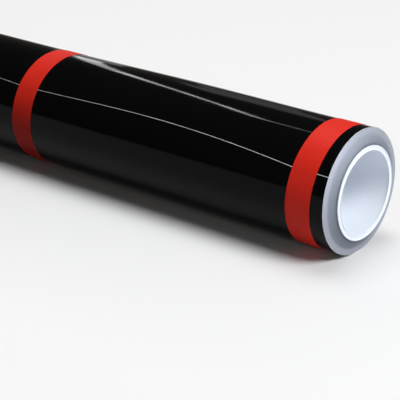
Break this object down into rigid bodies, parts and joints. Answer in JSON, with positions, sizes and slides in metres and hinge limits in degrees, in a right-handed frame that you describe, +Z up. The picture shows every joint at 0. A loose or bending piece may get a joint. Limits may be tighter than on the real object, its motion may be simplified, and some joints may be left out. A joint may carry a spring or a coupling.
{
  "type": "roll of sign vinyl",
  "caption": "Wide roll of black sign-making film on its white release liner, wound on a plastic core, with a free cut end and held shut by red tape bands.",
  "frame": {"origin": "middle of the roll's box, at the level of the surface that it rests on", "axes": "+X along the roll towards the end where the turns and the core stand out, -Y towards the web's free end, +Z up"},
  "size_m": [1.3762, 0.1153, 0.1148],
  "materials": {
    "core": "satin white moulded tube",
    "start_tape": "double-sided tape",
    "web_edge": "cut edges of black film and white liner, turn on turn",
    "liner": "coated release paper",
    "film": "gloss black vinyl",
    "band_tape": "satin red tape"
  },
  "bodies": {
    "root": {"core_tube": "core", "core_start_tape": "start_tape", "wound_turns": "web_edge", "release_liner": "liner", "face_film": "film", "tape_band_1": "band_tape", "tape_band_2": "band_tape", "tape_band_3": "band_tape", "tape_band_4": "band_tape", "tape_band_5": "band_tape"}
  },
  "joints": []
}
